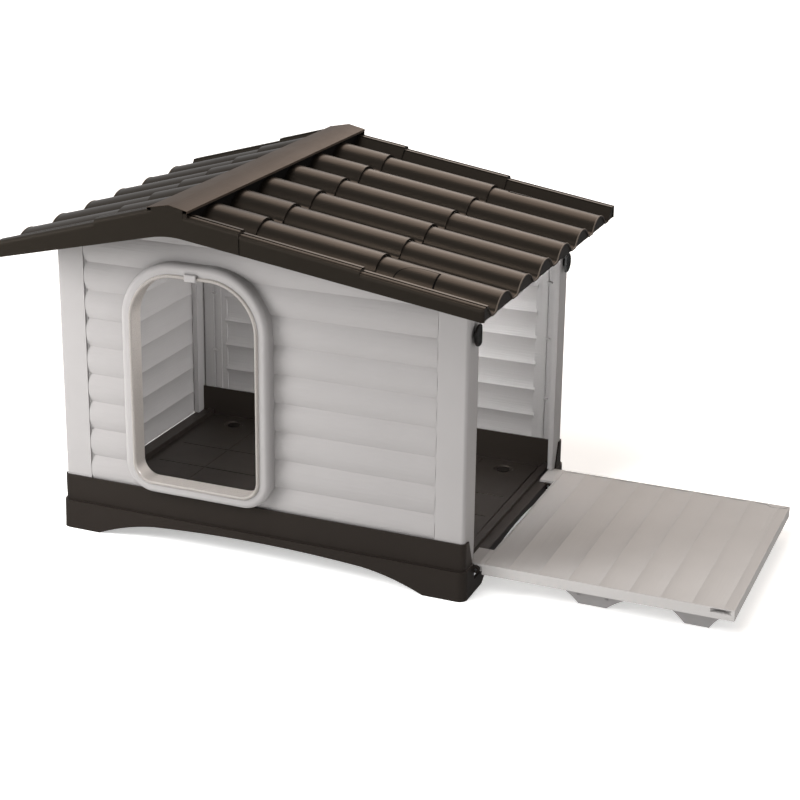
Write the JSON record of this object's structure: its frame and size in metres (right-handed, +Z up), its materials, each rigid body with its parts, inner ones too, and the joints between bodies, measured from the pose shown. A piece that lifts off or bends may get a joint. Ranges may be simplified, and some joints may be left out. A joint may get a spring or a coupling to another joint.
{
  "type": "plastic dog kennel",
  "caption": "Plastic dog kennel with lap-board walls, arched doorway, roll-tile gable roof, dark base tray and a side panel that hinges down on folding legs as a porch.",
  "frame": {"origin": "on the ground, at the middle of the rectangle that the house and its open porch cover together", "axes": "+X from the house towards the open porch, +Y from the doorway wall to the back wall, +Z up"},
  "size_m": [1.27, 0.72, 0.65],
  "materials": {
    "roof_plastic": "satin polypropylene, dark brown",
    "wall_plastic": "satin polypropylene with a fine grain, light warm grey",
    "base_plastic": "satin polypropylene, dark brown",
    "guard_metal": "bright extruded profile",
    "latch_plastic": "satin nylon, black",
    "steel": "zinc plated"
  },
  "bodies": {
    "kennel": {"base": "base_plastic", "drain_plugs": "base_plastic", "hinge_pins": "steel", "front_wall": "wall_plastic", "back_wall": "wall_plastic", "door_guard": "guard_metal", "guard_clip": "wall_plastic", "post_front_right": "wall_plastic", "post_back_right": "wall_plastic", "post_front_left": "wall_plastic", "post_back_left": "wall_plastic", "header_right": "wall_plastic", "header_left": "wall_plastic", "left_panel": "wall_plastic", "left_panel_boards": "wall_plastic", "left_panel_screws": "steel", "latch_screws": "steel", "roof_left": "roof_plastic", "roof_right": "roof_plastic", "roof_covers": "roof_plastic", "roof_screws": "steel"},
    "porch": {"side_panel": "wall_plastic", "side_panel_boards": "wall_plastic", "leg_pins": "steel"},
    "front_leg": {"front_leg": "wall_plastic"},
    "back_leg": {"back_leg": "wall_plastic"},
    "front_latch": {"front_latch": "latch_plastic"},
    "back_latch": {"back_latch": "latch_plastic"}
  },
  "joints": [
    {"name": "side_panel_hinge", "type": "hinge", "parent": "kennel", "child": "porch", "pos_m": [0.198, 0, 0.0444], "axis": [0, -1, 0], "range_deg": [0, 90]},
    {"name": "front_leg_fold", "type": "hinge", "parent": "porch", "child": "front_leg", "pos_m": [0.471, -0.19, 0.0405], "axis": [1, 0, 0], "range_deg": [0, 90]},
    {"name": "back_leg_fold", "type": "hinge", "parent": "porch", "child": "back_leg", "pos_m": [0.471, 0.19, 0.0405], "axis": [-1, 0, 0], "range_deg": [0, 90]},
    {"name": "front_latch_turn", "type": "hinge", "parent": "kennel", "child": "front_latch", "pos_m": [0.194, -0.235, 0.459], "axis": [-1, 0, 0], "range_deg": [0, 180]},
    {"name": "back_latch_turn", "type": "hinge", "parent": "kennel", "child": "back_latch", "pos_m": [0.194, 0.235, 0.459], "axis": [1, 0, 0], "range_deg": [0, 180]}
  ]
}
